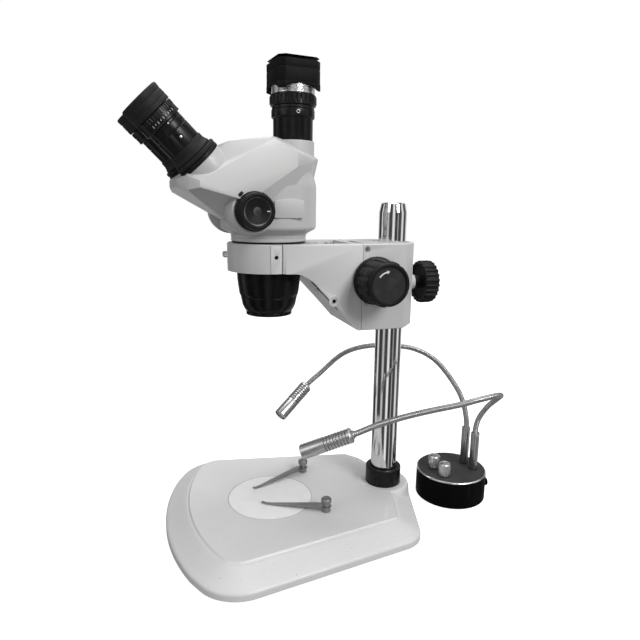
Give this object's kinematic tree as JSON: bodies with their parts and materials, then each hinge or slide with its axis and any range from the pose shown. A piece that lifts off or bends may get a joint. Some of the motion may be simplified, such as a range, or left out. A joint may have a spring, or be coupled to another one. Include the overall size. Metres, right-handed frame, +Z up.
{
  "type": "stereo microscope",
  "caption": "Trinocular zoom stereo microscope with camera on a pillar stand, with a stage plate, spring clips and a separate lamp base carrying two bendable arm lamps.",
  "frame": {"origin": "centre of the footprint, on the bench", "axes": "+Z up, -Y to the viewer at the eyepieces, +X to the viewer's right"},
  "size_m": [0.2834, 0.4318, 0.5204],
  "materials": {
    "arm_paint": "satin",
    "base_paint": "fine textured satin",
    "chrome": "polished",
    "steel": "brushed",
    "black_metal": "satin black",
    "black_plastic": "matt moulded",
    "rubber": "matt",
    "white_plastic": "smooth",
    "brass": "machined",
    "glass": "coated",
    "aluminium": "machined",
    "board": "solder mask"
  },
  "bodies": {
    "base": {"base_casting": "base_paint", "base_feet": "rubber", "column": "chrome", "column_cap": "chrome", "column_collar": "black_metal", "collar_screws": "steel", "column_bolt": "steel", "stage_plate": "white_plastic", "lamp_base": "black_plastic", "lamp_base_bottom": "black_plastic", "lamp_board": "board", "arm_sleeves": "steel"},
    "left_clip": {"stage_clip_left": "steel"},
    "right_clip": {"stage_clip_right": "steel"},
    "bush": {"column_bush": "brass"},
    "block": {"focus_block": "arm_paint", "block_screws": "black_metal", "shaft_bushes": "brass"},
    "clamp": {"clamp_knob": "black_plastic"},
    "pinion": {"pinion_shaft": "steel", "focus_knob_right": "black_plastic", "focus_knob_left": "black_plastic"},
    "arm": {"arm_casting": "arm_paint", "arm_screws": "steel", "dovetail_slide": "aluminium", "rack": "brass"},
    "thumb_screw": {"ring_screw": "chrome"},
    "head": {"mount_neck": "black_metal", "objective_housing": "black_metal", "objective_lens": "glass", "head_shell": "arm_paint", "guide_rods": "steel", "photo_tube": "black_metal"},
    "zoom": {"zoom_shaft": "steel", "zoom_knob_right": "black_plastic", "zoom_knob_left": "black_plastic"},
    "zoom_lenses": {"zoom_carriage": "aluminium"},
    "left_eye": {"eyetube_left": "black_metal", "eyepiece_left": "black_metal", "eyecup_left": "rubber"},
    "right_eye": {"eyetube_right": "black_metal", "eyepiece_right": "black_metal", "eyecup_right": "rubber"},
    "left_diopter": {"diopter_ring_left": "black_metal"},
    "right_diopter": {"diopter_ring_right": "black_metal"},
    "camera": {"adapter_barrel": "black_metal", "camera_mount": "aluminium", "camera_body": "black_plastic", "camera_top": "black_plastic"},
    "focus_ring": {"adapter_ring": "black_metal"},
    "left_dimmer": {"dimmer_knob_left": "aluminium"},
    "right_dimmer": {"dimmer_knob_right": "aluminium"},
    "left_arm": {"lamp_arm_left_lower": "steel"},
    "left_lamp": {"lamp_arm_left_upper": "steel", "lamp_head_left": "aluminium", "lamp_lens_left": "glass"},
    "right_arm": {"lamp_arm_right_lower": "steel"},
    "right_lamp": {"lamp_arm_right_upper": "steel", "lamp_head_right": "aluminium", "lamp_lens_right": "glass"}
  },
  "joints": [
    {"name": "left_clip_swing", "type": "hinge", "parent": "base", "child": "left_clip", "pos_m": [-0.05, -0.0119, 0.026], "axis": [0, 0, 1], "range_deg": [-100, 10]},
    {"name": "right_clip_swing", "type": "hinge", "parent": "base", "child": "right_clip", "pos_m": [0.05, -0.0119, 0.026], "axis": [0, 0, 1], "range_deg": [-10, 100]},
    {"name": "height_slide", "type": "slide", "parent": "base", "child": "bush", "axis": [0, 0, 1], "range_m": [-0.04, 0.03]},
    {"name": "column_swing", "type": "hinge", "parent": "bush", "child": "block", "pos_m": [0, 0.0808, 0.282], "axis": [0, 0, 1], "range_deg": [-30, 30]},
    {"name": "clamp_turn", "type": "hinge", "parent": "block", "child": "clamp", "pos_m": [0, 0.1108, 0.2814], "axis": [0, 1, 0], "range_deg": [0, 360]},
    {"name": "focus_slide", "type": "slide", "parent": "block", "child": "arm", "axis": [0, 0, 1], "range_m": [-0.025, 0.025]},
    {"name": "pinion_turn", "type": "hinge", "parent": "block", "child": "pinion", "pos_m": [0, 0.0423, 0.2905], "axis": [1, 0, 0], "range_deg": [-180, 180]},
    {"name": "thumb_screw_turn", "type": "hinge", "parent": "arm", "child": "thumb_screw", "pos_m": [0, -0.0666, 0.3154], "axis": [-0.5, -0.866, 0], "range_deg": [0, 360]},
    {"name": "head_turn", "type": "hinge", "parent": "arm", "child": "head", "pos_m": [0, -0.0666, 0.33], "axis": [0, 0, 1], "continuous": true},
    {"name": "zoom_turn", "type": "hinge", "parent": "head", "child": "zoom", "pos_m": [0.00396, -0.09886, 0.3636], "axis": [0.9925, 0.1219, 0], "range_deg": [-75, 75]},
    {"name": "zoom_lens_slide", "type": "slide", "parent": "head", "child": "zoom_lenses", "axis": [0, 0, 1], "range_m": [-0.008, 0.008]},
    {"name": "right_eye_swing", "type": "hinge", "parent": "head", "child": "right_eye", "pos_m": [0.04725, -0.1946, 0.4634], "axis": [-0.0862, 0.7018, -0.7071], "range_deg": [0, 110]},
    {"name": "left_eye_swing", "type": "hinge", "parent": "head", "child": "left_eye", "pos_m": [-0.01488, -0.20222, 0.4634], "axis": [-0.0862, 0.7018, -0.7071], "range_deg": [-110, 0]},
    {"name": "right_diopter_turn", "type": "hinge", "parent": "right_eye", "child": "right_diopter", "pos_m": [0.04278, -0.19514, 0.4634], "axis": [-0.0862, 0.7018, -0.7071], "range_deg": [-120, 120]},
    {"name": "left_diopter_turn", "type": "hinge", "parent": "left_eye", "child": "left_diopter", "pos_m": [-0.01042, -0.20168, 0.4634], "axis": [-0.0862, 0.7018, -0.7071], "range_deg": [-120, 120]},
    {"name": "camera_turn", "type": "hinge", "parent": "head", "child": "camera", "pos_m": [-0.00345, -0.03851, 0.46], "axis": [0, 0, 1], "range_deg": [-90, 90]},
    {"name": "focus_ring_turn", "type": "hinge", "parent": "camera", "child": "focus_ring", "pos_m": [-0.00345, -0.03851, 0.477], "axis": [0, 0, 1], "range_deg": [-150, 150]},
    {"name": "left_dimmer_turn", "type": "hinge", "parent": "base", "child": "left_dimmer", "pos_m": [0.0069, 0.15, 0.045], "axis": [0, 0, 1], "range_deg": [0, 280]},
    {"name": "right_dimmer_turn", "type": "hinge", "parent": "base", "child": "right_dimmer", "pos_m": [0.0307, 0.1515, 0.045], "axis": [0, 0, 1], "range_deg": [0, 280]},
    {"name": "left_arm_swing", "type": "hinge", "parent": "base", "child": "left_arm", "pos_m": [0.0053, 0.1956, 0.075], "axis": [0, 0, 1], "range_deg": [-10, 8]},
    {"name": "left_arm_bend", "type": "hinge", "parent": "left_arm", "child": "left_lamp", "pos_m": [-0.053, 0.1158, 0.188], "axis": [-0.9573, 0.289, 0], "range_deg": [-12, 18]},
    {"name": "right_arm_swing", "type": "hinge", "parent": "base", "child": "right_arm", "pos_m": [0.0244, 0.1973, 0.075], "axis": [0, 0, 1], "range_deg": [-8, 10]},
    {"name": "right_arm_bend", "type": "hinge", "parent": "right_arm", "child": "right_lamp", "pos_m": [0.087, 0.157, 0.1575], "axis": [-0.9841, -0.1778, 0], "range_deg": [-12, 18]}
  ],
  "couplings": [
    {"joint": "pinion_turn", "follows": "focus_slide", "rad_per_m": -125},
    {"joint": "zoom_lens_slide", "follows": "zoom_turn", "m_per_rad": 0.006},
    {"joint": "left_eye_swing", "follows": "right_eye_swing", "ratio": -1}
  ]
}
